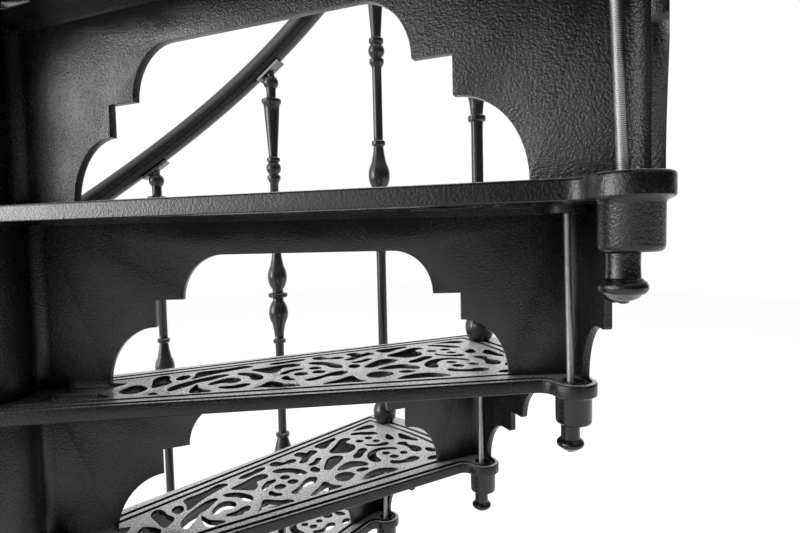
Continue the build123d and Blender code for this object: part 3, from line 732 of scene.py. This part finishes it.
def thread_mesh(radius, height, pitch, tall, steps=4):
    """Threaded bar up the Z axis from the origin, closed at both ends."""
    rows = max(2, int(round(tall / pitch * steps)))
    a = 2 * math.pi * np.arange(THREAD_SIDES) / THREAD_SIDES
    verts, faces = [], []
    for j in range(rows + 1):
        z = tall * j / rows
        wave = 0.5 - 0.5 * np.cos(2 * math.pi * z / pitch - a) if 0 < j < rows else 1.0
        r = radius - height * wave
        verts += [(float(x), float(y), z) for x, y in zip(r * np.cos(a), r * np.sin(a))]
    for j in range(rows):
        low, top = j * THREAD_SIDES, (j + 1) * THREAD_SIDES
        for i in range(THREAD_SIDES):
            n = (i + 1) % THREAD_SIDES
            faces.append((low + i, low + n, top + n, top + i))
    faces.append(tuple(reversed(range(THREAD_SIDES))))
    faces.append(tuple(rows * THREAD_SIDES + i for i in range(THREAD_SIDES)))
    return verts, faces


def threaded_bar(foot, head):
    """Threaded bar between two points, its ends level as the solids' are."""
    rail, run = sizes("stair_rail"), head - foot
    verts, faces = thread_mesh(rail.rod_d / 2, rail.thread_h, rail.thread, run.length)
    lean = run.to_track_quat("Z", "Y").to_matrix() if run.x or run.y else Matrix.Identity(3)
    bar = [lean @ Vector(v) + foot for v in verts]
    for end, z in ((bar[:THREAD_SIDES], foot.z), (bar[-THREAD_SIDES:], head.z)):
        for v in end:
            v.z = z
    return bar, faces


# ---------------------------------------------------------------- node trees

class Tree:
    """Builds a node tree: one call makes a node, sets it up and feeds its sockets."""

    def __init__(self, tree):
        self.tree = tree

    def node(self, kind, setup=None, **feeds):
        """New node: its settings, then values or links for its sockets by name, or by number as i0, i1."""
        n = self.tree.nodes.new(kind)
        for key, value in (setup or {}).items():
            setattr(n, key, value)
        for key, value in feeds.items():
            name = key.replace("_", " ")
            socket = next((s for s in n.inputs if s.name.lower() == name and s.enabled), None)
            self.feed(socket or n.inputs[int(name[1:])], value)
        return n

    def feed(self, socket, value):
        """Link or value for a socket."""
        if isinstance(value, Sock):
            value = value.socket
        if isinstance(value, bpy.types.NodeSocket):
            self.tree.links.new(value, socket)
        elif isinstance(value, bpy.types.Node):
            self.tree.links.new(value.outputs[0], socket)
        elif socket.type == "RGBA" and len(value) == 3:
            socket.default_value = (*value, 1)
        else:
            socket.default_value = value

    def mask(self, value, low, high):
        """Smooth step from nothing at low to one at high."""
        return Sock(self, self.node("ShaderNodeMapRange", {"interpolation_type": "SMOOTHSTEP"}, value=value,
                                    from_min=low, from_max=high).outputs[0])

    def along(self, vector, way):
        """Share of a vector along a direction."""
        return Sock(self, self.node("ShaderNodeVectorMath", {"operation": "DOT_PRODUCT"}, i0=vector,
                                    i1=way).outputs["Value"])

    def closed(self, geometry, material):
        """Ends a Geometry Nodes group: instances made real, and the material set."""
        real = self.node("GeometryNodeRealizeInstances", geometry=geometry)
        self.feed(self.node("NodeGroupOutput").inputs[0],
                  self.node("GeometryNodeSetMaterial", geometry=real, material=material))
        return self.tree


class Sock:
    """A socket that works in sums, products and powers."""

    def __init__(self, tree, socket):
        self.tree, self.socket = tree, socket

    def _do(self, operation, *values):
        n = self.tree.node("ShaderNodeMath", {"operation": operation})
        for socket, value in zip(n.inputs, values):
            self.tree.feed(socket, value)
        return Sock(self.tree, n.outputs[0])

    def __add__(self, o): return self._do("ADD", self, o)
    def __radd__(self, o): return self._do("ADD", o, self)
    def __sub__(self, o): return self._do("SUBTRACT", self, o)
    def __rsub__(self, o): return self._do("SUBTRACT", o, self)
    def __mul__(self, o): return self._do("MULTIPLY", self, o)
    def __rmul__(self, o): return self._do("MULTIPLY", o, self)
    def __pow__(self, o): return self._do("POWER", self, o)
    def __rpow__(self, o): return self._do("POWER", o, self)
    def maximum(self, o): return self._do("MAXIMUM", self, o)
    def beyond(self, period): return self._do("FLOORED_MODULO", self, period)


def node_group(name, *inputs):
    """New Geometry Nodes group with named inputs: its builder, and the inputs by name."""
    group = bpy.data.node_groups.new(name, "GeometryNodeTree")
    for label, kind, value in (("Geometry", "Geometry", None), *inputs, ("Material", "Material", None)):
        socket = group.interface.new_socket(label, in_out="INPUT", socket_type="NodeSocket" + kind)
        if value is not None:
            socket.default_value = value
    group.interface.new_socket("Geometry", in_out="OUTPUT", socket_type="NodeSocketGeometry")
    t = Tree(group)
    return t, {s.name: Sock(t, s) for s in t.node("NodeGroupInput").outputs if s.name}


def climb_tree():
    """Repeats a piece up the flight: one copy a step, turned and raised."""
    t, given = node_group("Climb", ("Copies", "Int", 12), ("First step", "Float", 1.0), ("Rise", "Float", 0.2),
                          ("Step angle", "Float", 0.4189), ("Start angle", "Float", 2.3038))
    line = t.node("GeometryNodeMeshLine", {"mode": "OFFSET"}, count=given["Copies"], offset=(0, 0, 0))
    step = Sock(t, t.node("GeometryNodeInputIndex").outputs[0]) + given["First step"]
    lift = t.node("ShaderNodeCombineXYZ", z=step * given["Rise"])
    put = t.node("GeometryNodeSetPosition", geometry=line, offset=lift)
    turn = t.node("ShaderNodeCombineXYZ", z=given["Start angle"] - step * given["Step angle"])
    copies = t.node("GeometryNodeInstanceOnPoints", points=put, instance=given["Geometry"], rotation=turn)
    return t.closed(copies, given["Material"])


def rail_tree():
    """Round tube along a helix, with its ends closed."""
    t, given = node_group("Rail", ("Turns", "Float", 0.8), ("Height", "Float", 2.0), ("Circle", "Float", 0.64),
                          ("Tube radius", "Float", 0.022), ("Start angle", "Float", 2.0),
                          ("Start height", "Float", 1.0), ("Sides", "Int", 40))
    spiral = t.node("GeometryNodeCurveSpiral", resolution=160, rotations=given["Turns"],
                    start_radius=given["Circle"], end_radius=given["Circle"], height=given["Height"], reverse=False)
    turn = t.node("ShaderNodeCombineXYZ", z=given["Start angle"])
    lift = t.node("ShaderNodeCombineXYZ", z=given["Start height"])
    moved = t.node("GeometryNodeTransform", geometry=spiral, translation=lift, rotation=turn)
    circle = t.node("GeometryNodeCurvePrimitiveCircle", resolution=given["Sides"], radius=given["Tube radius"])
    tube = t.node("GeometryNodeCurveToMesh", curve=moved, profile_curve=circle, fill_caps=True)
    return t.closed(tube, given["Material"])


def grown_by(obj, group, **values):
    """Runs a node tree on an object and keeps the result as its plain mesh."""
    mod = obj.modifiers.new(group.name, "NODES")
    mod.node_group = group
    for item in group.interface.items_tree:
        if item.in_out == "INPUT" and item.name in values:
            mod[item.identifier] = values[item.name]
    settled(obj, mod)


def up_the_flight(obj, copies, first, finish):
    """Repeats a piece from the first step up, in its finish."""
    f = sizes("stair_flight")
    group = bpy.data.node_groups.get("Climb") or climb_tree()
    grown_by(obj, group, **{"Copies": copies, "First step": float(first), "Rise": f.rise, "Step angle": f.step_angle,
                            "Start angle": f.start_angle, "Material": material(finish)})


def shown(obj, slot, *nodes):
    """The piece rides with the staircase and stands for its CAD nodes; its slot is not used."""
    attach(obj, "root")
    if nodes:
        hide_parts(*nodes)


# ---------------------------------------------------------------- finishes

class Finish(Tree):
    """A material with its shader and the object coordinates that patterns follow."""

    def __init__(self, name, colour, roughness, metallic=0.0):
        self.mat = bpy.data.materials.new(name)
        self.mat.use_nodes = True
        super().__init__(self.mat.node_tree)
        self.skin = next(n for n in self.tree.nodes if n.type == "BSDF_PRINCIPLED")
        self.mat.diffuse_color = (*colour, 1)
        self.colour(colour)
        self.roughness(roughness)
        self.skin.inputs["Metallic"].default_value = metallic
        self.place = self.node("ShaderNodeTexCoord").outputs["Object"]

    def noise(self, scale, detail=3.0, rough=0.55, stretch=None):
        """Noise on object coordinates, stretched where that is given."""
        where = self.place
        if stretch:
            where = self.node("ShaderNodeMapping", vector=self.place, scale=stretch)
        return Sock(self, self.node("ShaderNodeTexNoise", vector=where, scale=scale, detail=detail,
                                    roughness=rough).outputs["Fac"])

    def upward(self):
        """One on faces that look up, nothing on the others."""
        normal = self.node("ShaderNodeNewGeometry").outputs["Normal"]
        return self.mask(self.along(normal, (0, 0, 1)), 0.55, 0.95)

    def blend(self, factor, a, b):
        """Colour a where the factor is nothing, b where it is one."""
        return self.node("ShaderNodeMix", {"data_type": "RGBA"}, i0=factor, i6=a, i7=b).outputs[2]

    def colour(self, value):
        """Base colour, as a colour or a link."""
        self.feed(self.skin.inputs["Base Color"], value)

    def roughness(self, value):
        """Roughness, as a number or a link."""
        self.feed(self.skin.inputs["Roughness"], value)

    def relief(self, height, distance, strength=1.0):
        """Bump from a height, its distance in metres."""
        self.feed(self.skin.inputs["Normal"],
                  self.node("ShaderNodeBump", height=height, distance=distance, strength=strength))


def tone(colour, share):
    """Colour made lighter or darker by a share."""
    return tuple(min(1.0, c * share) for c in colour)


def cast_iron(name, colour, grain, bite=0.0006, rough=(0.14, 0.34), dust=0.0, top_sheen=None, uneven=(0.55, 1.9)):
    """Gloss black paint over sand-cast iron: pebbled skin that comes and goes, dust, and a pale painted sheen on the
    treads' tops.

    The grain is the pebbles' scale a metre and the bite the relief's height in metres; the paint's roughness and
    its tone each lie between two values.
    """
    look, f = sizes("stair_finish"), Finish(name, colour, rough[0])
    pebble, fine = f.noise(grain, 2.0, 0.5), f.noise(grain * 2.3, 2.0, 0.5)
    cloud, wide = f.noise(11.0, 3.0, 0.5), f.noise(3.1, 2.0, 0.5)
    coarse = f.mask(cloud * 0.5 + wide * 0.5, 0.38, 0.62)
    f.relief((pebble * 0.7 + fine * 0.3) * (0.35 + 0.65 * coarse) + cloud * 0.8, bite)
    f.roughness(f.mask(cloud * 0.5 + pebble * 0.5, 0.3, 0.7) * (rough[1] - rough[0]) + rough[0])
    base = f.blend(f.mask(pebble * 0.8 + cloud * 0.2, 0.5, 0.68), tone(colour, uneven[0]), tone(colour, uneven[1]))
    if dust:
        base = f.blend(f.upward() * f.mask(f.noise(38.0, 4.0, 0.65), 0.35, 0.75) * dust, base, tuple(look.dust))
    if top_sheen:
        # painted sheen, pale where the treads' tops catch the light: level faces at the height of a tread's top, not
        # the hollows and dishes
        rise = sizes("stair_flight").rise
        x, y, height = (Sock(f, s) for s in f.node("ShaderNodeSeparateXYZ", vector=f.place).outputs)
        level = f.mask((height + rise / 2).beyond(rise) - rise / 2, -0.0009, -0.0001)
        # painted glints: lighter and darker specks in the painted sheen
        glint_speck = f.mask(f.noise(330.0, 3.0, 0.7), 0.4, 0.6)
        pale = f.blend(glint_speck, tone(top_sheen, 0.78), tone(top_sheen, 1.3))
        # the painted sheen fades towards the newel
        newel_fade = f.mask((x * x + y * y) ** 0.5 + 0.05 * cloud, 0.09, 0.27) * 0.85 + 0.15
        base = f.blend(f.upward() * level * newel_fade * (0.72 + 0.28 * glint_speck), base, pale)
    f.colour(base)
    return f.mat


def plated_steel(name, colour, rough=0.34):
    """Zinc plated steel: fine drawn streaks and a dull bloom."""
    f = Finish(name, colour, rough, metallic=1.0)
    streak = f.noise(420.0, 2.0, 0.5, stretch=(1.0, 1.0, 0.08))
    bloom = f.noise(60.0, 4.0, 0.6)
    f.roughness(f.mask(bloom, 0.3, 0.75) * 0.2 + rough)
    f.colour(f.blend(f.mask(bloom * 0.7 + streak * 0.3, 0.35, 0.72), tone(colour, 0.72), tone(colour, 1.08)))
    f.relief(streak, 0.0002, 0.6)
    return f.mat


def material(name):
    """The staircase's finishes by name, made once."""
    found = bpy.data.materials.get(name)
    if found:
        return found
    look = sizes("stair_finish")
    iron, turned_paint_and_sheen, rail, steel = (tuple(c) for c in (look.iron, look.turned, look.rail, look.steel))
    makers = {
        "tread_iron": lambda n: cast_iron(n, iron, 500.0, top_sheen=tuple(look.top_sheen)),
        "riser_iron": lambda n: cast_iron(n, iron, 500.0, bite=0.0011, rough=(0.14, 0.32), dust=0.1),
        "newel_iron": lambda n: cast_iron(n, iron, 380.0, bite=0.0012, rough=(0.14, 0.3), dust=0.2),
        # balusters: their paint lightened as a painted sheen
        "baluster_iron": lambda n: cast_iron(n, turned_paint_and_sheen, 420.0, bite=0.0003, rough=(0.14, 0.22), uneven=(0.8, 1.2)),
        "nut_iron": lambda n: cast_iron(n, iron, 420.0, bite=0.0003, rough=(0.12, 0.24)),
        "base_iron": lambda n: cast_iron(n, iron, 480.0, dust=0.8),
        "rail_paint": lambda n: cast_iron(n, rail, 300.0, bite=0.0001, rough=(0.22, 0.28), uneven=(0.9, 1.15)),
        "rod_steel": lambda n: plated_steel(n, steel),
        "saddle_steel": lambda n: plated_steel(n, tone(steel, 0.4), 0.3),
        "core_steel": lambda n: plated_steel(n, tone(steel, 0.7), 0.45),
    }
    return makers[name](name)


def softened(node, slot, finish, width):
    """Copy of a CAD node with its sharp edges rounded by a width in millimetres, in place of the node."""
    bm = bmesh.new()
    bm.from_mesh(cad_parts[node].data)
    bmesh.ops.remove_doubles(bm, verts=bm.verts, dist=2e-6)
    bmesh.ops.dissolve_limit(bm, angle_limit=math.radians(0.4), verts=bm.verts, edges=bm.edges)
    obj = placed(f"{node}_cast", bpy.data.meshes.new(f"{node}_cast"))
    bm.to_mesh(obj.data)
    bm.free()
    mod = obj.modifiers.new("Soft edges", "BEVEL")
    mod.width, mod.segments, mod.use_clamp_overlap = width * MM, 2, True
    mod.limit_method, mod.angle_limit = "ANGLE", math.radians(38)
    done = settled(obj, mod)
    shaded(done, 42)
    done.materials.clear()
    done.materials.append(material(finish))
    shown(obj, slot, node)


def numbered(stem, first, last):
    """Names of like CAD nodes, from the first to the last."""
    return [f"{stem}_{i:02d}" for i in range(first, last + 1)]


# ---------------------------------------------------------------- operators

class STAIR_OT_treads(bpy.types.Operator):
    """Pierced treads with moulded borders, lugs and bosses"""
    bl_idname = "stair.treads"
    bl_label = "Treads"

    def execute(self, context):
        count = sizes("stair_flight").steps
        half = (count + 1) // 2
        tread = Tread(Plan())
        for name, first, last in (("treads_lower", 1, half), ("treads_upper", half + 1, count)):
            obj = mesh_piece(name, tread.verts, tread.faces)
            up_the_flight(obj, last - first + 1, first, "tread_iron")
            shown(obj, "treads", *numbered("tread", first, last))
        return {"FINISHED"}


class STAIR_OT_risers(bpy.types.Operator):
    """Arched risers with their outer skirts and newel sleeves, edges softened"""
    bl_idname = "stair.risers"
    bl_label = "Risers and sleeves"

    def execute(self, context):
        for name in numbered("riser", 1, sizes("stair_flight").steps):
            softened(name, "risers", "riser_iron", 1.5)
        return {"FINISHED"}


class STAIR_OT_balusters(bpy.types.Operator):
    """Turned balusters with their swivel balls"""
    bl_idname = "stair.balusters"
    bl_label = "Balusters"

    def execute(self, context):
        count, (x, y) = sizes("stair_flight").steps, Plan().baluster
        verts, faces = turned(baluster_profile(), sizes("stair_baluster").sides)
        obj = mesh_piece("balusters", [(a + x, b + y, c) for a, b, c in verts], faces, crease=38.0)
        up_the_flight(obj, count, 1, "baluster_iron")
        shown(obj, "balusters", *numbered("baluster", 1, count))
        return {"FINISHED"}


class STAIR_OT_nuts(bpy.types.Operator):
    """Turned nuts below the lugs"""
    bl_idname = "stair.nuts"
    bl_label = "Finial nuts"

    def execute(self, context):
        t = sizes("stair_tread")
        verts, faces = turned(nut_profile(), LUG_SIDES)
        obj = mesh_piece("nuts", [(x + t.rod_r, y, z - t.boss_drop) for x, y, z in verts], faces, crease=45.0)
        up_the_flight(obj, sizes("stair_flight").steps, 1, "nut_iron")
        shown(obj, "finial_nuts", "finial_nuts")
        return {"FINISHED"}


class STAIR_OT_rods(bpy.types.Operator):
    """Threaded tie rods from lug to baluster foot"""
    bl_idname = "stair.rods"
    bl_label = "Tie rods"

    def execute(self, context):
        t, f = sizes("stair_tread"), sizes("stair_flight")
        head = Plan().baluster.to_3d()
        head.rotate(Matrix.Rotation(-f.step_angle, 3, "Z"))
        head.z = f.rise - t.depth

        def at(z):
            """Point on the axis of a lug's rod hole."""
            return Vector((t.rod_r, 0, z))

        stub = at(-t.boss_drop + STUB_SHORT)
        # between two steps, from the floor shoe, and the stud that closes the last lug
        for name, bars, copies, first, nodes in (
                ("rods", ((at(0), head), (stub, at(0))), f.steps - 1, 1, ("tie_rods",)),
                ("rod_low", ((at(SHOE_TOP), head),), 1, 0, ()),
                ("rod_top", ((stub, at(STUD_TOP)),), 1, f.steps, ())):
            shell = Shell()
            for ends in bars:
                shell.add(*threaded_bar(*ends))
            obj = mesh_piece(name, shell.verts, shell.faces, weld=1e-7, crease=60.0)
            up_the_flight(obj, copies, first, "rod_steel")
            shown(obj, "tie_rods", *nodes)
        return {"FINISHED"}


class STAIR_OT_handrail(bpy.types.Operator):
    """Round tube handrail on its helix"""
    bl_idname = "stair.handrail"
    bl_label = "Handrail"

    def execute(self, context):
        f, rail, t = sizes("stair_flight"), sizes("stair_rail"), sizes("stair_tread")
        step, over = math.degrees(f.step_angle), math.degrees(rail.over)
        span = (f.steps - 1) * step + 2 * over
        pitch = f.rise * 360 / step
        start = math.degrees(f.start_angle - t.bal_lag) + over
        obj = mesh_piece("handrail_tube", [], [])
        grown_by(obj, rail_tree(), **{
            "Turns": span / 360, "Height": pitch * span / 360, "Circle": t.rod_r - t.bal_in,
            "Tube radius": rail.radius, "Start angle": math.radians(start),
            "Start height": f.rise + rail.height - pitch * over / 360, "Material": material("rail_paint")})
        shaded(obj.data, 50)
        shown(obj, "handrail", "handrail")
        return {"FINISHED"}


class STAIR_OT_newel(bpy.types.Operator):
    """Newel's upper sleeve, cap, base plate and floor shoe, edges softened"""
    bl_idname = "stair.newel"
    bl_label = "Newel and base"

    def execute(self, context):
        for node, slot, finish, width in (
                ("newel_upper", "newel", "newel_iron", 1.2), ("newel_cap", "newel", "newel_iron", 1.5),
                ("base_plate", "base_plate", "base_iron", 1.8), ("floor_shoe", "floor_shoe", "base_iron", 1.2)):
            softened(node, slot, finish, width)
        return {"FINISHED"}


class STAIR_OT_finishes(bpy.types.Operator):
    """Finishes of the CAD nodes that stay as they are"""
    bl_idname = "stair.finishes"
    bl_label = "Finishes"

    def execute(self, context):
        for node, name in {"newel_core": "core_steel", "saddles": "saddle_steel"}.items():
            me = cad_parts[node].data
            me.materials.clear()
            me.materials.append(material(name))
        return {"FINISHED"}


# ---------------------------------------------------------------- stage

# Camera of the photograph, as the fit gave it: place in metres, bearing, dip and roll in degrees, lens in mm.
CAMERA_AT = (0.0097, -0.7444, 1.5646)
CAMERA_TURN, CAMERA_DIP, CAMERA_ROLL = 37.48, -3.17, -1.24
LENS = 24.72
# Direction of the studio's window, left of the stair, and how closely its light keeps to that direction.
WINDOW, WINDOW_FOCUS = (-0.925, 0.362, 0.12), 6.5
# Strength of the studio's light: near side, beyond the stair, overhead, at the window, and the camera's backdrop.
NEAR_GLOW, FAR_GLOW, TOP_GLOW, WINDOW_GLOW, BACKDROP_GLOW = 0.03, 0.95, 0.6, 4.6, 1.02
FLOOR_GLOW = 0.2


def pale_floor(colour, half=14):
    """Plain floor, lit a little from within, as on a light table, so that no line shows against the background."""
    ground = mesh_piece("floor", [(-half, -half, 0), (half, -half, 0), (half, half, 0), (-half, half, 0)],
                        [(0, 1, 2, 3)])
    f = Finish("pale_floor", colour, 0.85)
    f.colour(f.blend(f.mask(f.noise(1.7), 0.3, 0.7), tone(colour, 0.99), colour))
    f.skin.inputs["Emission Color"].default_value = (1, 1, 1, 1)
    f.skin.inputs["Emission Strength"].default_value = FLOOR_GLOW
    ground.data.materials.append(f.mat)
    return ground


def studio():
    """World that is bright beyond the stair, overhead and at a window on its left, dark on the near side, and
    white to the camera."""
    sky = bpy.data.worlds.new("studio")
    sky.use_nodes = True
    w, turn = Tree(sky.node_tree), math.radians(CAMERA_TURN)
    way = w.node("ShaderNodeTexCoord").outputs["Generated"]
    beyond = w.mask(w.along(way, (math.sin(turn), math.cos(turn), 0)), 0.2, 0.85)
    overhead = w.mask(w.along(way, (0, 0, 1)), 0.25, 0.9)
    window = w.along(way, WINDOW).maximum(0.0) ** WINDOW_FOCUS
    glow = NEAR_GLOW + beyond * FAR_GLOW + overhead * TOP_GLOW + window * WINDOW_GLOW
    seen = Sock(w, w.node("ShaderNodeLightPath").outputs["Is Camera Ray"])
    back = next(n for n in w.tree.nodes if n.type == "BACKGROUND")
    w.feed(back.inputs["Color"], (1, 1, 1))
    w.feed(back.inputs["Strength"], seen * BACKDROP_GLOW + (1 - seen) * glow)
    return sky


def lamp(name, at, aim, size, power):
    """Soft square lamp, aimed at a point."""
    light = bpy.data.lights.new(name, "AREA")
    light.shape, light.size, light.energy = "SQUARE", size, power
    obj = placed(name, light)
    obj.location = at
    obj.rotation_euler = (Vector(aim) - Vector(at)).to_track_quat("-Z", "Y").to_euler()


def photo_camera():
    """Camera at the photograph's place and angle."""
    turn, dip, roll = (math.radians(a) for a in (CAMERA_TURN, CAMERA_DIP, CAMERA_ROLL))
    ahead = Vector((math.sin(turn) * math.cos(dip), math.cos(turn) * math.cos(dip), math.sin(dip)))
    right = Vector((math.cos(turn), -math.sin(turn), 0))
    up = right.cross(ahead)
    across = right * math.cos(roll) + up * math.sin(roll)
    above = up * math.cos(roll) - right * math.sin(roll)
    camera = bpy.data.cameras.new("camera")
    camera.lens, camera.sensor_width, camera.clip_start, camera.clip_end = LENS, 36.0, 0.02, 100.0
    obj = placed("camera", camera)
    obj.matrix_world = Matrix.Translation(CAMERA_AT) @ Matrix((across, above, -ahead)).transposed().to_4x4()
    return obj


class STAIR_OT_stage(bpy.types.Operator):
    """Plain pale floor, soft studio light and the camera at the photograph's angle"""
    bl_idname = "stair.stage"
    bl_label = "Stage"

    def execute(self, context):
        look, scene = sizes("stair_finish"), context.scene
        ground = pale_floor(tuple(look.floor))
        scene.world = studio()
        lamp("left", (-2.6, 1.0, 1.9), (0.3, -0.4, 1.5), 1.2, look.lamp)
        lamp("top", (0.9, 0.6, 5.2), (0.3, 0.1, 0), 3.0, look.lamp * 4)
        scene.camera = photo_camera()
        scene.view_settings.view_transform = "Standard"
        scene.view_settings.look = "None"
        return {"FINISHED"}


class STAIR_PT_panel(bpy.types.Panel):
    """Steps of the staircase's looks"""
    bl_idname = "STAIR_PT_panel"
    bl_label = "Spiral stair"
    bl_space_type = "VIEW_3D"
    bl_region_type = "UI"
    bl_category = "Spiral stair"

    def draw(self, context):
        for op in ORDER:
            self.layout.operator(op.bl_idname)
        for name in GROUPS:
            group = getattr(context.scene, name)
            box = self.layout.box()
            for key in group.bl_rna.properties.keys():
                if key not in ("rna_type", "name"):
                    box.prop(group, key)


ORDER = (STAIR_OT_stage, STAIR_OT_treads, STAIR_OT_risers, STAIR_OT_balusters, STAIR_OT_nuts, STAIR_OT_rods,
         STAIR_OT_handrail, STAIR_OT_newel, STAIR_OT_finishes)
CLASSES = (*GROUPS.values(), *ORDER, STAIR_PT_panel)


def register():
    """Classes and the scene's sizes and finishes."""
    for cls in CLASSES:
        bpy.utils.register_class(cls)
    for name, cls in GROUPS.items():
        setattr(bpy.types.Scene, name, bpy.props.PointerProperty(type=cls))


def unregister():
    """Takes away what register added."""
    for name in GROUPS:
        delattr(bpy.types.Scene, name)
    for cls in reversed(CLASSES):
        bpy.utils.unregister_class(cls)


def main():
    """Makes every piece and the stage."""
    register()
    for op in ORDER:
        group, name = op.bl_idname.split(".")
        if getattr(getattr(bpy.ops, group), name)() != {"FINISHED"}:
            raise RuntimeError(f"{op.bl_label} was not finished")
    bpy.context.view_layer.update()


if __name__ == "__main__":
    main()
